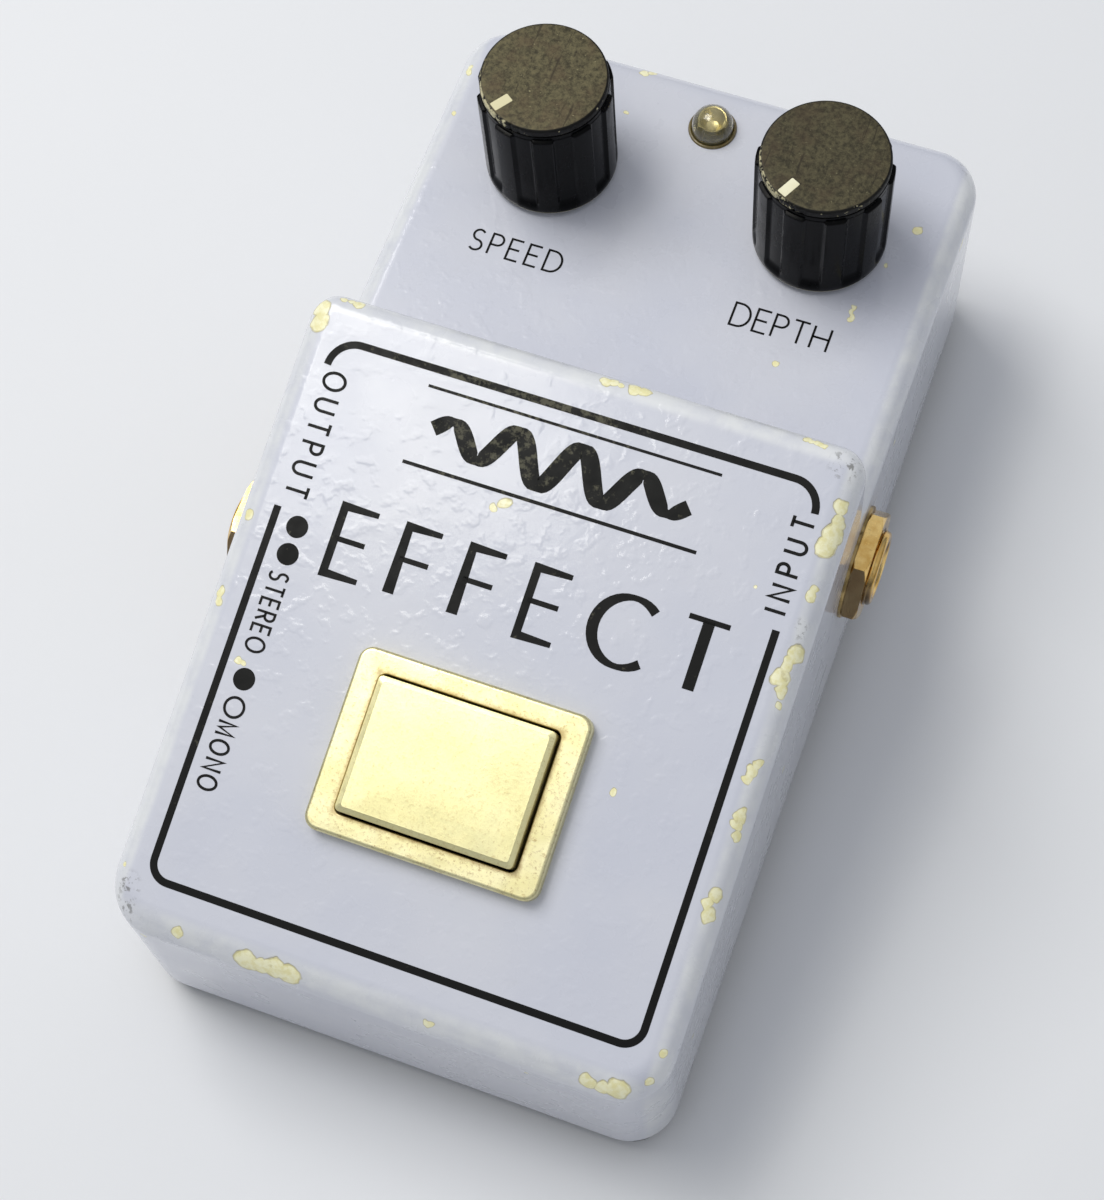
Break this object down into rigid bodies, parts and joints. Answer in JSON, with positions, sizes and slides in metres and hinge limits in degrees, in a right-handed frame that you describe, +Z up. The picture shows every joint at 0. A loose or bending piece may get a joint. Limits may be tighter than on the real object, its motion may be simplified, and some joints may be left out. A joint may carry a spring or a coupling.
{
  "type": "guitar effects pedal",
  "caption": "Compact guitar effects pedal: die-cast case with sloped front, plated foot button in a bezel, fluted knobs, indicator lamp and side jacks.",
  "frame": {"origin": "on the floor under the middle of the case's bounding box", "axes": "+X to the pedal's right side (input jack), +Y to the rear (knobs and lamp), +Z up"},
  "size_m": [0.0754, 0.124, 0.053],
  "materials": {
    "case_paint": "satin-gloss enamel, chipped to bare metal",
    "plate_paint": "satin black paint on steel",
    "screw_steel": "zinc plated",
    "foot_rubber": "matte",
    "black_plastic": "fine grain",
    "plated_metal": "aged satin nickel plate",
    "natural_nylon": "natural nylon",
    "spring_steel": "bright wire",
    "red_plastic": "moulded",
    "board_laminate": "phenolic laminate",
    "zinc_steel": "zinc plated sheet",
    "knob_plastic": "gloss black",
    "cap_metal": "worn olive brown",
    "pointer_paint": "cream",
    "shaft_metal": "turned",
    "brass_parts": "turned",
    "tinned_contacts": "tinned",
    "nickel_parts": "nickel plated",
    "lamp_resin": "clear, slightly yellowed",
    "clip_resin": "clear",
    "resistor_coat": "lacquered",
    "can_sleeve": "shrink sleeve",
    "film_coat": "dipped",
    "chip_epoxy": "moulded epoxy",
    "trimmer_blue": "moulded",
    "trimmer_white": "moulded",
    "battery_case": "printed steel jacket",
    "foam_rubber": "foam",
    "wire_red": "vinyl",
    "wire_black": "vinyl",
    "wire_white": "vinyl"
  },
  "bodies": {
    "pedal": {"case": "case_paint", "base_plate": "plate_paint", "base_screws": "screw_steel", "rubber_feet": "foot_rubber", "switch_bezel": "plated_metal", "button_spring": "spring_steel", "foot_switch": "black_plastic", "switch_board": "board_laminate", "switch_bracket": "zinc_steel", "bracket_screws": "screw_steel", "pot_housings": "zinc_steel", "pot_bushings": "brass_parts", "pot_terminals": "tinned_contacts", "pot_washers": "zinc_steel", "pot_nuts": "zinc_steel", "input_jack_bushing": "brass_parts", "input_jack_body": "black_plastic", "output_jack_bushings": "brass_parts", "output_jack_bodies": "black_plastic", "jack_contacts": "tinned_contacts", "jack_washers": "brass_parts", "jack_nuts": "brass_parts", "dc_jack_bushing": "nickel_parts", "dc_jack_body": "black_plastic", "dc_jack_nut": "nickel_parts", "lamp_lens": "lamp_resin", "lamp_clip": "clip_resin", "lamp_leads": "tinned_contacts", "circuit_board": "board_laminate", "board_standoffs": "natural_nylon", "resistors": "resistor_coat", "electrolytic_capacitors": "can_sleeve", "film_capacitors": "film_coat", "ic_chips": "chip_epoxy", "transistors": "chip_epoxy", "trimmer_bases": "trimmer_blue", "battery": "battery_case", "battery_terminals": "tinned_contacts", "battery_snap": "black_plastic", "battery_pad": "foam_rubber", "wires_red": "wire_red", "wires_black": "wire_black", "wires_white": "wire_white"},
    "button": {"foot_button": "plated_metal", "button_stem": "natural_nylon"},
    "plunger": {"switch_plunger": "red_plastic"},
    "speed_control": {"speed_knob": "knob_plastic", "speed_knob_cap": "cap_metal", "speed_pointer": "pointer_paint", "speed_shaft": "shaft_metal"},
    "depth_control": {"depth_knob": "knob_plastic", "depth_knob_cap": "cap_metal", "depth_pointer": "pointer_paint", "depth_shaft": "shaft_metal"},
    "door": {"battery_door": "black_plastic"},
    "left_trimmer": {"trimmer_rotor_left": "trimmer_white"},
    "right_trimmer": {"trimmer_rotor_right": "trimmer_white"}
  },
  "joints": [
    {"name": "press_button", "type": "slide", "parent": "pedal", "child": "button", "axis": [0, 0.2678, -0.9635], "range_m": [0, 0.0013], "stiffness_N_per_m": 2500, "springref_m": -0.0012, "deforming": ["button_spring"]},
    {"name": "move_plunger", "type": "slide", "parent": "pedal", "child": "plunger", "axis": [0, 0.2678, -0.9635], "range_m": [0, 0.0013]},
    {"name": "turn_speed", "type": "hinge", "parent": "pedal", "child": "speed_control", "pos_m": [-0.0174, 0.0443, 0.035], "axis": [0, 0, 1], "range_deg": [-300, 0]},
    {"name": "turn_depth", "type": "hinge", "parent": "pedal", "child": "depth_control", "pos_m": [0.0174, 0.0443, 0.035], "axis": [0, 0, 1], "range_deg": [-300, 0]},
    {"name": "open_door", "type": "hinge", "parent": "pedal", "child": "door", "pos_m": [0, -0.0228, 0.0046], "axis": [1, 0, 0], "range_deg": [0, 95]},
    {"name": "turn_left_trimmer", "type": "hinge", "parent": "pedal", "child": "left_trimmer", "pos_m": [-0.012, -0.0125, 0.0105], "axis": [0, 0, 1], "range_deg": [-130, 130]},
    {"name": "turn_right_trimmer", "type": "hinge", "parent": "pedal", "child": "right_trimmer", "pos_m": [0.012, -0.0125, 0.0105], "axis": [0, 0, 1], "range_deg": [-130, 130]}
  ],
  "couplings": [
    {"joint": "move_plunger", "follows": "press_button", "ratio": 1}
  ]
}
